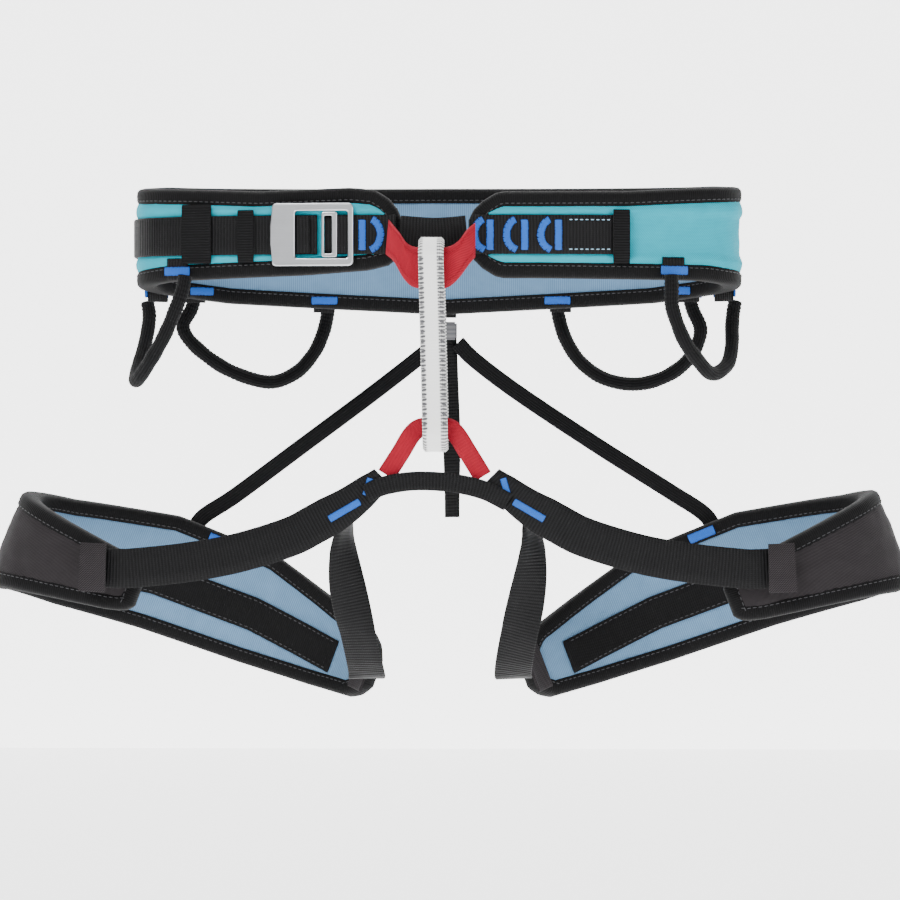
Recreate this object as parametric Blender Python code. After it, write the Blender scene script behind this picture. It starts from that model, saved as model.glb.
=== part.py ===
"""Climbing harness: padded waist belt, two padded leg loops, belay loop, tie-in
strips, risers and gear loops. Metres, +Z up, the front of the harness at -Y.
The origin is the centre of the waist ring at the middle of the waist webbing."""
import math

import bmesh
import bpy
from mathutils import Vector

for old in list(bpy.data.objects):
    bpy.data.objects.remove(old, do_unlink=True)

MM = 0.001

# Waist belt, all in millimetres
WAIST_HALF_WIDTH = 190.0
WAIST_HALF_DEPTH = 57.0
WAIST_POWER = 2.4
WAIST_GAP_HALF = 22.0
WAIST_SAMPLES = 48
WEBBING_WIDTH = 25.0
WEBBING_THICK = 1.6

# Layers of a pad, as offsets from its middle surface
LINING = (-6.0, -4.8)
FOAM = (-4.5, 3.4)
FACE = (3.7, 5.0)
BIND_IN = -6.3
BIND_OUT = 5.3
BIND_THICK = 1.0
BIND_LAP = 8.0
WEB_ON_PAD = 6.7

# Leg loops
LEG_HALF_WIDTH = 126.0
LEG_HALF_DEPTH = 54.0
LEG_POWER = 2.2
LEG_TILT = math.radians(20.5)
LEG_CENTRE_X = 163.0
LEG_CENTRE_Y = -24.0
LEG_CENTRE_Z = -240.5
LEG_SHIFT_X = 7.5
RIGHT_STRAP_SHIFT = 4.0
LEG_SAMPLES = 32

# The front webbing is folded narrower towards the middle
WEB_TAPER = [(0.0, 1.0), (0.72, 1.0), (0.9, 0.72), (1.0, 0.5)]

# Belay loop and tie-in strips
BELAY_Y = -84.0
BELAY_TOP = -21.8
BELAY_BOTTOM = -123.0
BELAY_WIDTH = 16.0
BELAY_THICK = 3.6
BELAY_INNER_R = 9.4

# Gear loops
GEAR_RADIUS = 4.6


def material(name, colour, rough, metal=0.0):
    """A plain Principled material."""
    m = bpy.data.materials.new(name)
    m.use_nodes = True
    b = m.node_tree.nodes["Principled BSDF"]
    b.inputs["Base Color"].default_value = (*colour, 1.0)
    b.inputs["Roughness"].default_value = rough
    b.inputs["Metallic"].default_value = metal
    return m


TURQUOISE = (0.03, 0.48, 0.58)
BLUE_LINING = (0.2, 0.36, 0.52)
CHARCOAL = (0.05, 0.045, 0.048)
BLACK = (0.015, 0.015, 0.017)
FOAM_GREY = (0.3, 0.3, 0.31)
RED = (0.55, 0.03, 0.05)
WHITE = (0.75, 0.75, 0.74)
SILVER = (0.7, 0.71, 0.72)
GREY = (0.22, 0.22, 0.23)


def mesh_object(name, verts, faces, look):
    """One named object with its own material and outward faces."""
    me = bpy.data.meshes.new(name)
    me.from_pydata([Vector(v) * MM for v in verts], [], faces)
    bm = bmesh.new()
    bm.from_mesh(me)
    bmesh.ops.remove_doubles(bm, verts=bm.verts, dist=0.00001)
    bmesh.ops.recalc_face_normals(bm, faces=bm.faces)
    bm.to_mesh(me)
    bm.free()
    ob = bpy.data.objects.new(name, me)
    bpy.context.scene.collection.objects.link(ob)
    me.materials.append(material(name + "_mat", *look))
    me.shade_smooth()
    me.set_sharp_from_angle(angle=math.radians(35))
    return ob


def loft(name, rings, look, closed=False):
    """Skin a row of equal rings; a row that is not closed gets flat ends."""
    n = len(rings[0])
    verts = [p for r in rings for p in r]
    count = len(rings)
    faces = []
    for i in range(count if closed else count - 1):
        j = (i + 1) % count
        for k in range(n):
            m = (k + 1) % n
            faces.append((i * n + k, i * n + m, j * n + m, j * n + k))
    if not closed:
        faces.append(tuple(range(n)))
        faces.append(tuple((count - 1) * n + k for k in range(n)))
    return mesh_object(name, verts, faces, look)


def spline(points, count):
    """Evenly numbered samples of a Catmull-Rom curve through the points."""
    pts = [Vector(p) for p in points]
    ext = [pts[0] * 2 - pts[1]] + pts + [pts[-1] * 2 - pts[-2]]
    out = []
    spans = len(pts) - 1
    for i in range(count):
        u = i / (count - 1) * spans
        k = min(int(u), spans - 1)
        t = u - k
        a, b, c, d = ext[k:k + 4]
        out.append(0.5 * (2 * b + (c - a) * t + (2 * a - 5 * b + 4 * c - d) * t * t
                          + (3 * b - a - 3 * c + d) * t ** 3))
    return out


def profile(keys, x):
    """Smoothly stepped value between (position, value) keys."""
    if x <= keys[0][0]:
        return keys[0][1]
    for (x0, y0), (x1, y1) in zip(keys, keys[1:]):
        if x <= x1:
            t = (x - x0) / (x1 - x0)
            return y0 + (y1 - y0) * t
    return keys[-1][1]


class Shell:
    """A curved wall: s runs along an oval, v up the wall and n outward."""

    def __init__(self, a, b, power, centre, tilt, side, start, sweep):
        self.centre = Vector(centre)
        self.u = Vector((math.cos(tilt), 0.0, -math.sin(tilt)))
        self.w = Vector((math.sin(tilt), 0.0, math.cos(tilt)))
        self.side = side
        self.pts = []
        steps = 720
        for i in range(steps + 1):
            t = math.radians(start + sweep * i / steps)
            c = math.cos(t)
            s = math.sin(t)
            x = a * math.copysign(abs(c) ** (2 / power), c)
            y = b * math.copysign(abs(s) ** (2 / power), s)
            self.pts.append(Vector((x, y)))
        self.run = [0.0]
        for p, q in zip(self.pts, self.pts[1:]):
            self.run.append(self.run[-1] + (q - p).length)
        self.length = self.run[-1]
        self.turn = 1.0 if sweep < 0 else -1.0

    def flat(self, s):
        s = min(max(s, 0.0), self.length)
        lo, hi = 0, len(self.run) - 1
        while hi - lo > 1:
            mid = (lo + hi) // 2
            if self.run[mid] <= s:
                lo = mid
            else:
                hi = mid
        t = (s - self.run[lo]) / max(self.run[hi] - self.run[lo], 1e-9)
        p = self.pts[lo].lerp(self.pts[hi], t)
        a = self.pts[max(lo - 6, 0)]
        b = self.pts[min(hi + 6, len(self.pts) - 1)]
        d = (b - a).normalized()
        return p, Vector((-d.y, d.x)) * self.turn, d

    def at(self, s, v, n):
        over = s - min(max(s, 0.0), self.length)
        p, out, d = self.flat(s)
        q = p + out * n + d * over
        w = self.centre + self.u * q.x + Vector((0, q.y, 0)) + self.w * v
        return Vector((w.x * self.side, w.y, w.z))

    def find(self, x, front):
        """The distance along the wall where it passes a given x."""
        best = None
        for i, p in enumerate(self.pts):
            if (p.y < 0) == front:
                e = abs(p.x - x)
                if best is None or e < best[0]:
                    best = (e, self.run[i])
        return best[1]


def wall_piece(name, shell, s0, s1, count, top, bottom, n0, n1, look):
    """A panel on the wall between two height profiles."""
    rings = []
    for i in range(count):
        s = s0 + (s1 - s0) * i / (count - 1)
        a = top(s)
        b = bottom(s)
        rings.append([shell.at(s, b, n0), shell.at(s, b, n1),
                      shell.at(s, a, n1), shell.at(s, a, n0)])
    return loft(name, rings, look)


def strip_on(name, shell, s0, s1, count, mid, width, n0, n1, look):
    """Flat webbing lying on the wall."""
    return wall_piece(name, shell, s0, s1, count, lambda s: mid(s) + width / 2,
                      lambda s: mid(s) - width / 2, n0, n1, look)


def ribbon(name, centres, across, width, thick, look, closed=False, taper=None):
    """Webbing along a free path; across gives its width direction."""
    rows = []
    n = len(centres)
    for i, p in enumerate(centres):
        a = centres[i - 1] if closed or i > 0 else centres[0]
        b = centres[(i + 1) % n] if closed or i < n - 1 else centres[-1]
        t = (b - a).normalized()
        w = across(i / (n - 1), t)
        w = (w - t * w.dot(t)).normalized()
        m = t.cross(w)
        k = width / 2
        if taper:
            k *= profile(taper, i / (n - 1))
        h = thick / 2
        rows.append([p - w * k - m * h, p + w * k - m * h, p + w * k + m * h, p - w * k + m * h])
    return loft(name, rows, look, closed)


def tube(name, centres, radius, sides, look):
    """A round cord sleeve along a path."""
    rows = []
    n = len(centres)
    ref = None
    for i, p in enumerate(centres):
        t = (centres[min(i + 1, n - 1)] - centres[max(i - 1, 0)]).normalized()
        if ref is None:
            ref = t.orthogonal().normalized()
        ref = (ref - t * ref.dot(t)).normalized()
        b = t.cross(ref)
        row = []
        for k in range(sides):
            g = math.tau * k / sides
            row.append(p + ref * (math.cos(g) * radius) + b * (math.sin(g) * radius))
        rows.append(row)
    return loft(name, rows, look)


# Waist belt -----------------------------------------------------------------
# The wall starts at the front, goes round the wearer's right side (-X), the
# back and the other side, and ends at the front again.
waist = Shell(WAIST_HALF_WIDTH, WAIST_HALF_DEPTH, WAIST_POWER, (0, 0, 0), 0.0, 1.0, 270.0, -360.0)
W_LEN = waist.length
S_LEFT = waist.find(-WAIST_GAP_HALF, True)
S_RIGHT = waist.find(WAIST_GAP_HALF, True)

TOP_KEYS = [(0, 9), (3, 16), (8, 22), (16, 27), (30, 28.5), (90, 26.5), (170, 30), (215, 33.5),
            (400, 34), (585, 33.5), (640, 30), (700, 26.5), (760, 26)]
BOTTOM_KEYS = [(0, -9), (3, -14), (8, -18), (20, -21), (60, -24), (150, -27), (200, -32),
               (260, -39), (400, -46), (540, -39), (600, -32), (650, -27), (760, -26)]
PAD_LEN = S_RIGHT - S_LEFT


def fold_end(s, keys, sign):
    """Height profile of the belt with its far end rounded as well."""
    x = (s - S_LEFT) * 800.0 / PAD_LEN
    v = profile(keys, min(x, 760))
    rest = 800.0 - x
    cap = profile([(0, 9), (3, 15), (8, 20), (16, 25), (26, 60)], max(rest, 0))
    return sign * min(abs(v), cap)


def waist_top(s):
    return fold_end(s, TOP_KEYS, 1.0)


def waist_bottom(s):
    return fold_end(s, BOTTOM_KEYS, -1.0)


def even(s0, s1, i, count):
    return s0 + (s1 - s0) * i / (count - 1)


def dense_panel(name, shell, s0, s1, count, top, bottom, n0, n1, look):
    """A panel with extra rings close to its rounded ends."""
    stops = [0, 3, 8, 16, 26]
    body = [even(s0 + 40, s1 - 40, i, count) for i in range(count)]
    runs = [s0 + x for x in stops] + body + [s1 - x for x in reversed(stops)]
    rings = []
    for s in runs:
        a = top(s)
        b = bottom(s)
        rings.append([shell.at(s, b, n0), shell.at(s, b, n1),
                      shell.at(s, a, n1), shell.at(s, a, n0)])
    return loft(name, rings, look)


def dense_binding(name, shell, s0, s1, count, top, bottom, look):
    """Edge tape with extra points close to the rounded ends."""
    stops = [0, 3, 8, 16, 26]
    body = [even(s0 + 40, s1 - 40, i, count) for i in range(count)]
    runs = [s0 + x for x in stops] + body + [s1 - x for x in reversed(stops)]
    ring = [Vector((s, top(s))) for s in runs] + [Vector((s, bottom(s))) for s in reversed(runs)]
    n = len(ring)
    rows = []
    for i, p in enumerate(ring):
        d = (ring[(i + 1) % n] - ring[i - 1]).normalized()
        out = Vector((-d.y, d.x))
        i0 = BIND_IN
        i1 = BIND_IN - BIND_THICK
        o0 = BIND_OUT
        o1 = BIND_OUT + BIND_THICK
        section = [(o0, -BIND_LAP), (o1, -BIND_LAP), (o1, 1.6), (i1, 1.6),
                   (i1, -BIND_LAP), (i0, -BIND_LAP), (i0, 0.6), (o0, 0.6)]
        rows.append([shell.at(p.x + out.x * e, p.y + out.y * e, nn) for nn, e in section])
    return loft(name, rows, look, closed=True)


dense_panel("waist_lining", waist, S_LEFT, S_RIGHT, WAIST_SAMPLES, waist_top, waist_bottom,
            *LINING, (BLUE_LINING, 0.9))
dense_panel("waist_foam_core", waist, S_LEFT, S_RIGHT, WAIST_SAMPLES, waist_top, waist_bottom,
            *FOAM, (FOAM_GREY, 0.95))
dense_panel("waist_face_fabric", waist, S_LEFT, S_RIGHT, WAIST_SAMPLES, waist_top, waist_bottom,
            *FACE, (TURQUOISE, 0.8))
dense_binding("waist_binding", waist, S_LEFT, S_RIGHT, WAIST_SAMPLES, waist_top, waist_bottom,
              (BLACK, 0.85))

WEB_TOP = WEB_ON_PAD + WEBBING_THICK


def level(_s):
    return 0.0


def sx(x, front=True):
    return waist.find(x, front)


strip_on("waist_webbing_adjust", waist, sx(-75), sx(-150, False), 26, level, WEBBING_WIDTH,
         WEB_ON_PAD, WEB_TOP, (BLACK, 0.75))
strip_on("waist_webbing_left_sewn", waist, sx(-24), sx(-69), 8, level, WEBBING_WIDTH,
         WEB_ON_PAD, WEB_TOP, (BLACK, 0.75))
strip_on("waist_webbing_right", waist, sx(120), sx(22), 12, level, WEBBING_WIDTH,
         WEB_ON_PAD, WEB_TOP, (BLACK, 0.75))
BRIDGE = [Vector((-22.5, -65.5, 0)), Vector((-10, -65.9, -1)), Vector((0, -66, -1.5)),
          Vector((10, -65.9, -1)), Vector((20.5, -65.5, 0))]
ribbon("waist_webbing_bridge", spline(BRIDGE, 7), lambda f, t: Vector((0, 0, 1)), 24.0, 1.4,
       (BLACK, 0.75))

KEEP0 = WEB_TOP + 0.3
KEEP1 = KEEP0 + 1.4


def band(name, s0, s1, low, high, n0, n1, look, shell=waist):
    """A short band crossing the webbing."""
    return wall_piece(name, shell, s0, s1, 5, lambda s: high, lambda s: low, n0, n1, look)


band("waist_keeper_wide", sx(-141), sx(-159), -17, 19.5, KEEP0, KEEP1, (BLACK, 0.8))
band("waist_keeper_narrow", sx(-114), sx(-125), -17, 16, KEEP0, KEEP1, (BLACK, 0.8))
band("waist_keeper_right", sx(122), sx(112), -18, 15.5, KEEP0, KEEP1, (BLACK, 0.8))

# Buckle: a flat frame with a wide bar, two arms and a sliding bar
BK0 = WEB_TOP + 0.4
BK1 = BK0 + 3.0
buckle_s0 = sx(-51)
buckle_s1 = sx(-104)


def buckle_frame():
    """The frame as one plate with a window cut through it."""
    span = buckle_s1 - buckle_s0
    outer = [(0, -20), (0, 20), (span - 3, 20), (span, 16), (span - 2, 6), (span - 2, -6),
             (span, -16), (span - 3, -20)]
    inner = [(4, -15), (4, 15), (span - 20, 15), (span - 17, 13), (span - 17, 5), (span - 17, -5),
             (span - 17, -13), (span - 20, -15)]
    verts = []
    for ring in (outer, inner):
        for n in (BK0, BK1):
            for a, b in ring:
                verts.append(waist.at(buckle_s0 + a, b, n))
    faces = []
    m = 8
    for k in range(m):
        j = (k + 1) % m
        faces.append((k, j, m + j, m + k))
        faces.append((2 * m + k, 2 * m + j, 3 * m + j, 3 * m + k))
        faces.append((k, j, 2 * m + j, 2 * m + k))
        faces.append((m + k, m + j, 3 * m + j, 3 * m + k))
    return mesh_object("waist_buckle_frame", verts, faces, (SILVER, 0.3, 1.0))


buckle_frame()
band("waist_buckle_slide_bar", sx(-62), sx(-72), -14.5, 14.5, BK0, BK1 - 0.4, (SILVER, 0.3, 1.0))

# Upper tie-in strip
UPPER_TOP = [(-29, -74.5, 9.0), (-22, -79, 0.5), (-17, -82.5, -6.4), (-10.6, BELAY_Y, -9.0),
             (0, BELAY_Y, -9.2), (8, BELAY_Y, -9.0), (15, -83, -5.5), (21, -79, 2.5),
             (26, -74.5, 7.0)]
UPPER_BOTTOM = [(-31, -74.5, -13), (-25.5, -79, -18), (-19, -82.5, -29), (-12, BELAY_Y, -34.6),
                (0, BELAY_Y, -35), (8.5, BELAY_Y, -34.6), (15.5, -83, -29), (22, -79, -20),
                (26, -74.5, -15)]


def edge_band(name, top, bottom, thick, look):
    """A flat band between two edge lines, thick along Y."""
    rows = []
    for a, b in zip(top, bottom):
        d = Vector((0, thick / 2, 0))
        rows.append([b - d, a - d, a + d, b + d])
    return loft(name, rows, look)


edge_band("upper_tie_in_strip", spline(UPPER_TOP, 21), spline(UPPER_BOTTOM, 21), 2.6, (RED, 0.7))

# Belay loop: a closed band hanging round both strips
loop = []
r = BELAY_INNER_R + BELAY_THICK / 2
z1 = BELAY_TOP + 6.2
z0 = BELAY_BOTTOM - 2.5
for i in range(9):
    g = math.pi * i / 8
    loop.append(Vector((-1.5, BELAY_Y - r * math.cos(g), z1 + r * math.sin(g))))
for i in range(1, 6):
    loop.append(Vector((-1.5 + i * 0.45, BELAY_Y + r, z1 + (z0 - z1) * i / 6)))
for i in range(9):
    g = math.pi * i / 8
    loop.append(Vector((1.2, BELAY_Y + r * math.cos(g), z0 - r * math.sin(g))))
for i in range(1, 6):
    loop.append(Vector((1.2 - i * 0.45, BELAY_Y - r, z0 + (z1 - z0) * i / 6)))
ribbon("belay_loop", loop, lambda f, t: Vector((1, 0, 0)), BELAY_WIDTH, BELAY_THICK,
       (WHITE, 0.7), closed=True)

# Lower tie-in strip and the bridge that joins the leg loops
LOWER = [(-30, -85.2, -153), (-21, -84.8, -139), (-14, -84.3, -127.5), (-8, BELAY_Y, BELAY_BOTTOM),
         (0.5, BELAY_Y, BELAY_BOTTOM), (9, BELAY_Y, BELAY_BOTTOM), (14.5, -84.3, -127.5),
         (21.5, -84.8, -138.5), (31, -85.2, -154)]
ribbon("lower_tie_in_strip", spline(LOWER, 21), lambda f, t: t.cross(Vector((0, 1, 0))), 12.0,
       3.0, (RED, 0.7))


# Leg loops --------------------------------------------------------------------
def leg(side, tag):
    """One padded leg loop with its straps."""
    centre = (-LEG_CENTRE_X + side * LEG_SHIFT_X, LEG_CENTRE_Y, LEG_CENTRE_Z)
    move = 0.0 if side > 0 else RIGHT_STRAP_SHIFT
    shell = Shell(LEG_HALF_WIDTH, LEG_HALF_DEPTH, LEG_POWER, centre, LEG_TILT, side, 270.0, -360.0)
    s0 = shell.find(-36.0 if side > 0 else -18.0, True)
    s1 = shell.find(119.0, False)
    span = s1 - s0
    top_keys = [(0, 10), (3, 14), (8, 18), (16, 20), (60, 25), (110, 31), (160, 36), (230, 49),
                (300, 47), (340, 36), (371, 27), (382, 24), (390, 18), (395, 10)]
    bottom_keys = [(0, -8), (3, -11), (8, -13), (16, -15), (60, -22), (110, -30), (170, -30),
                   (230, -26), (300, -24), (350, -21), (384, -18), (390, -14), (395, -8)]

    def top(s):
        return profile(top_keys, (s - s0) * 395.0 / span)

    def bottom(s):
        return profile(bottom_keys, (s - s0) * 395.0 / span)

    dense_panel("leg_lining_" + tag, shell, s0, s1, LEG_SAMPLES, top, bottom, *LINING,
                (BLUE_LINING, 0.9))
    dense_panel("leg_foam_core_" + tag, shell, s0, s1, LEG_SAMPLES, top, bottom, *FOAM,
                (FOAM_GREY, 0.95))
    dense_panel("leg_face_fabric_" + tag, shell, s0, s1, LEG_SAMPLES, top, bottom, *FACE,
                (CHARCOAL, 0.85))
    dense_binding("leg_binding_" + tag, shell, s0, s1, LEG_SAMPLES, top, bottom, (BLACK, 0.85))

    # Front webbing: from the pad's end, over the front, up to the middle
    web = [(-219, -86.0, -211), (-200, -90.2, -212), (-187, -91, -211.5), (-155, -90, -208),
           (-125, -88.4, -202.5), (-92, -88.2, -192.5), (-75, -88.2, -184), (-56, -88.2, -173),
           (-41, -88.2, -161.5), (-33, -88.2, -153.5)]
    pts = [Vector((p[0] * side + move, p[1], p[2])) for p in spline(web, 30)]
    ribbon("leg_front_webbing_" + tag, pts, lambda f, t: t.cross(Vector((0, 1, 0))), 25.0, 1.6,
           (BLACK, 0.75), taper=WEB_TAPER)
    # Inner strap: from the front middle down and back to the pad's end
    inner = [(-55, -74, -181), (-58, -73, -196), (-57, -70, -214), (-54, -65, -233),
             (-50, -58, -252), (-46.5, -47, -270), (-45, -35, -281), (-45.5, -26.5, -284)]
    pts = [Vector((p[0] * side + move, p[1], p[2])) for p in spline(inner, 20)]

    def twist(f, t):
        g = math.radians(78.0 - 96.0 * min(f * 1.7, 1.0))
        return Vector((math.cos(g), math.sin(g), 0.12))

    ribbon("leg_inner_strap_" + tag, pts, twist, 24.0, 1.6, (BLACK, 0.75))
    keeper = [(-224, -88.0, -211), (-215, -90.0, -211.5), (-207, -92.6, -211.7)]
    pts = [Vector((p[0] * side + move, p[1] - 1.6, p[2])) for p in spline(keeper, 5)]
    ribbon("leg_keeper_" + tag, pts, lambda f, t: t.cross(Vector((0, 1, 0))), 31.0, 1.2,
           (BLACK, 0.8))
    strip_on("leg_centre_strip_" + tag, shell, s0 + 190, s1 - 30, 10,
             lambda s: (top(s) + bottom(s)) / 2 - 4, 22.0, BIND_IN - 1.2, BIND_IN - 0.1,
             (BLACK, 0.85))
    wall_piece("leg_end_loop_" + tag, shell, s1 - 8, s1 + 14, 5, lambda s: 17.0,
               lambda s: -13.0, BIND_IN - 3.2, BIND_IN - 1.4, (CHARCOAL, 0.85))
    return shell


leg(1.0, "left")
leg(-1.0, "right")

BRIDGE_LOW = [(-43, -90.4, -165), (-32, -90.3, -160), (-15, -90.2, -157),
              (2, -90.2, -157), (18, -90.2, -159), (33, -90.3, -163), (47, -90.4, -170)]
ribbon("leg_bridge_webbing", spline(BRIDGE_LOW, 13), lambda f, t: t.cross(Vector((0, 1, 0))),
       12.0, 1.6, (BLACK, 0.75))

# Risers -------------------------------------------------------------------------
band("riser_anchor_tab", sx(-6, False), sx(8, False), -49.5, -30, KEEP0, KEEP1, (BLACK, 0.8))
HANG = Vector((3.0, 69.0, -58.0))


def block(name, centre, size, look):
    """A small block with rounded edges."""
    bm = bmesh.new()
    bmesh.ops.create_cube(bm, size=1.0)
    for v in bm.verts:
        v.co = Vector((v.co.x * size[0], v.co.y * size[1], v.co.z * size[2])) * MM
        v.co += Vector(centre) * MM
    bmesh.ops.bevel(bm, geom=list(bm.edges), offset=0.6 * MM, segments=1, affect="EDGES")
    me = bpy.data.meshes.new(name)
    bm.to_mesh(me)
    bm.free()
    ob = bpy.data.objects.new(name, me)
    bpy.context.scene.collection.objects.link(ob)
    me.materials.append(material(name + "_mat", *look))
    return ob


block("riser_hanger", HANG, (13.0, 3.2, 12.0), (GREY, 0.5))
RISER_L = [(-4, 69, -66), (-16, 67.5, -76), (-48, 63, -101), (-94, 56, -135.5), (-136, 49, -167),
           (-158, 42.0, -182), (-164, 40.5, -194)]
RISER_R = [(10, 69, -66), (22, 67.5, -78), (52, 63, -100.5), (104, 56, -135), (150, 49, -164),
           (174, 42.0, -180), (181, 40.5, -194)]
ribbon("riser_strap_left", spline(RISER_L, 18), lambda f, t: t.cross(Vector((0, 1, 0))), 10.5,
       2.0, (BLACK, 0.85))
ribbon("riser_strap_right", spline(RISER_R, 18), lambda f, t: t.cross(Vector((0, 1, 0))), 10.5,
       2.0, (BLACK, 0.85))
TAIL = [(3, 73, -58), (4, 72.6, -80), (5, 72, -105), (6, 71.5, -137), (6.3, 71, -182)]
ribbon("riser_tail", spline(TAIL, 12), lambda f, t: Vector((1, 0, 0)), 12.0, 1.8, (BLACK, 0.85))


# Gear loops ----------------------------------------------------------------------
def gear(name, path, count):
    pts = spline(path, count)
    tube(name, pts, GEAR_RADIUS, 8, (BLACK, 0.7))


GEAR_RL = [(-163, 52, -42), (-172, 52, -55), (-163, 55, -69), (-142, 60, -84), (-116, 64, -92),
           (-98, 67, -86), (-86, 69, -73), (-80, 71, -60), (-77, 72, -48)]
GEAR_RR = [(163, 52, -42), (171, 52, -59), (164, 55, -76), (149, 60, -88), (129, 64, -93.5),
           (108, 67, -90), (92, 69, -79), (82, 71, -64), (77, 72, -48)]
GEAR_FL = [(-160, -57, -31), (-166, -54, -46), (-175, -46, -65), (-187, -32, -83),
           (-196, -12, -92), (-197, 8, -84), (-193, 23, -66), (-189.5, 30, -48)]
GEAR_FR = [(150, -59, -31), (151, -57, -47), (158, -51, -66), (167, -39, -79), (177, -20, -88),
           (187, 0, -82), (190.5, 14, -70), (190, 24, -56), (188.5, 30, -47)]
gear("gear_loop_rear_left", GEAR_RL, 17)
gear("gear_loop_rear_right", GEAR_RR, 17)
gear("gear_loop_front_left", GEAR_FL, 17)
gear("gear_loop_front_right", GEAR_FR, 17)


def gear_tab(name, x, front, low, high, width=14.0):
    s = sx(x, front)
    band(name, s - width / 2, s + width / 2, low, high, BIND_OUT + BIND_THICK + 0.3,
         BIND_OUT + BIND_THICK + 1.7, (BLACK, 0.8))


gear_tab("gear_tab_rear_left_a", -160, False, -40, -15)
gear_tab("gear_tab_rear_left_b", -77, False, -46, -15)
gear_tab("gear_tab_rear_right_a", 160, False, -40, -15)
gear_tab("gear_tab_rear_right_b", 77, False, -46, -15)
gear_tab("gear_tab_front_left_a", -163, True, -28, -14)
gear_tab("gear_tab_front_left_b", -181, False, -40, -15)
gear_tab("gear_tab_front_right_a", 149, True, -28, -14)
gear_tab("gear_tab_front_right_b", 181, False, -40, -15)
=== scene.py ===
"""The climbing harness as it looks: woven belt and leg loops, webbing, stitching,
buckle, belay loop, risers and gear loops, over the CAD frame."""
import math

import bmesh
import bpy
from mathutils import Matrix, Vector, noise


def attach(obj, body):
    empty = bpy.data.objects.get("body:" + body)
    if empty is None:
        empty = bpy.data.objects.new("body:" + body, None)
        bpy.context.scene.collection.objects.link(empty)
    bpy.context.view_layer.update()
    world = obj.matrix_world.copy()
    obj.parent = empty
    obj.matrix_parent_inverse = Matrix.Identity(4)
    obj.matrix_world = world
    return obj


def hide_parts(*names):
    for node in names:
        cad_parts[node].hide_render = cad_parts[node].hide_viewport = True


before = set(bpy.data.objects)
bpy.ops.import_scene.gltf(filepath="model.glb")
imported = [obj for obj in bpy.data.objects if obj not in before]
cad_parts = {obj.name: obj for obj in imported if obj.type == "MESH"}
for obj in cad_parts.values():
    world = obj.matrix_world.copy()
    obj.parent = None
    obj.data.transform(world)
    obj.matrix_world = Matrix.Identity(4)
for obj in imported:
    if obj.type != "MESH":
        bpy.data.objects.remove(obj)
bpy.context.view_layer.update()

MM = 0.001
CAM_TURN = math.radians(2.0)
CAM_DISTANCE = 3.0
CAM_ASIDE = 0.0073
CAM_HEIGHT = -0.1372
CAM_LENS = 184.6

# Camera first
cam = bpy.data.objects.new("camera", bpy.data.cameras.new("camera"))
bpy.context.scene.collection.objects.link(cam)
cam.data.lens = CAM_LENS
cam.data.sensor_width = 36.0
cam.data.clip_end = 50.0
cam.location = (math.sin(CAM_TURN) * CAM_DISTANCE + math.cos(CAM_TURN) * CAM_ASIDE,
                -math.cos(CAM_TURN) * CAM_DISTANCE + math.sin(CAM_TURN) * CAM_ASIDE, CAM_HEIGHT)
cam.rotation_euler = (math.radians(90), 0.0, CAM_TURN)
bpy.context.scene.camera = cam

# Dimensions, in millimetres
WAIST_HALF_WIDTH = 190.0
WAIST_HALF_DEPTH = 57.0
WAIST_POWER = 2.4
WAIST_GAP_HALF = 22.0
WEBBING_WIDTH = 25.0
WEB_ON_PAD = 6.7
WEB_TOP = 8.3
KEEP0 = 8.6
LEG_HALF_WIDTH = 126.0
LEG_HALF_DEPTH = 54.0
LEG_POWER = 2.2
LEG_TILT = math.radians(20.5)
LEG_CENTRE = (-163.0, -24.0, -240.5)
LEG_SHIFT_X = 7.5
RIGHT_STRAP_SHIFT = 4.0
WEB_TAPER = [(0.0, 1.0), (0.72, 1.0), (0.9, 0.72), (1.0, 0.5)]
BELAY_Y = -84.0
BELAY_TOP = -21.8
BELAY_BOTTOM = -123.0
BELAY_INNER_R = 9.4
BELAY_THICK = 3.6
GEAR_RADIUS = 4.6
GEAR_TAB_WIDTH = 14.0

# Levels outward from the belt wall, and through its lining side
TACK_LEVEL = 8.9
PLATE_LEVELS = (8.7, 11.8)
SLIDE_LEVELS = (8.8, 11.0)
BUCKLE_WEB_LEVELS = (8.9, 10.2)
LINING_TACK_LEVEL = -8.3
STITCH_RADIUS = 0.33
TACK_RADIUS = 0.48

# Length units that the height profiles of the pads are given in
WAIST_PROFILE_LENGTH = 800.0
LEG_PROFILE_LENGTH = 395.0

# One band of a wave texture at scale 1
BAND_PERIOD = 0.3142

FORWARD = Vector((0, -1, 0))
BACKWARD = Vector((0, 1, 0))


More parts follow.
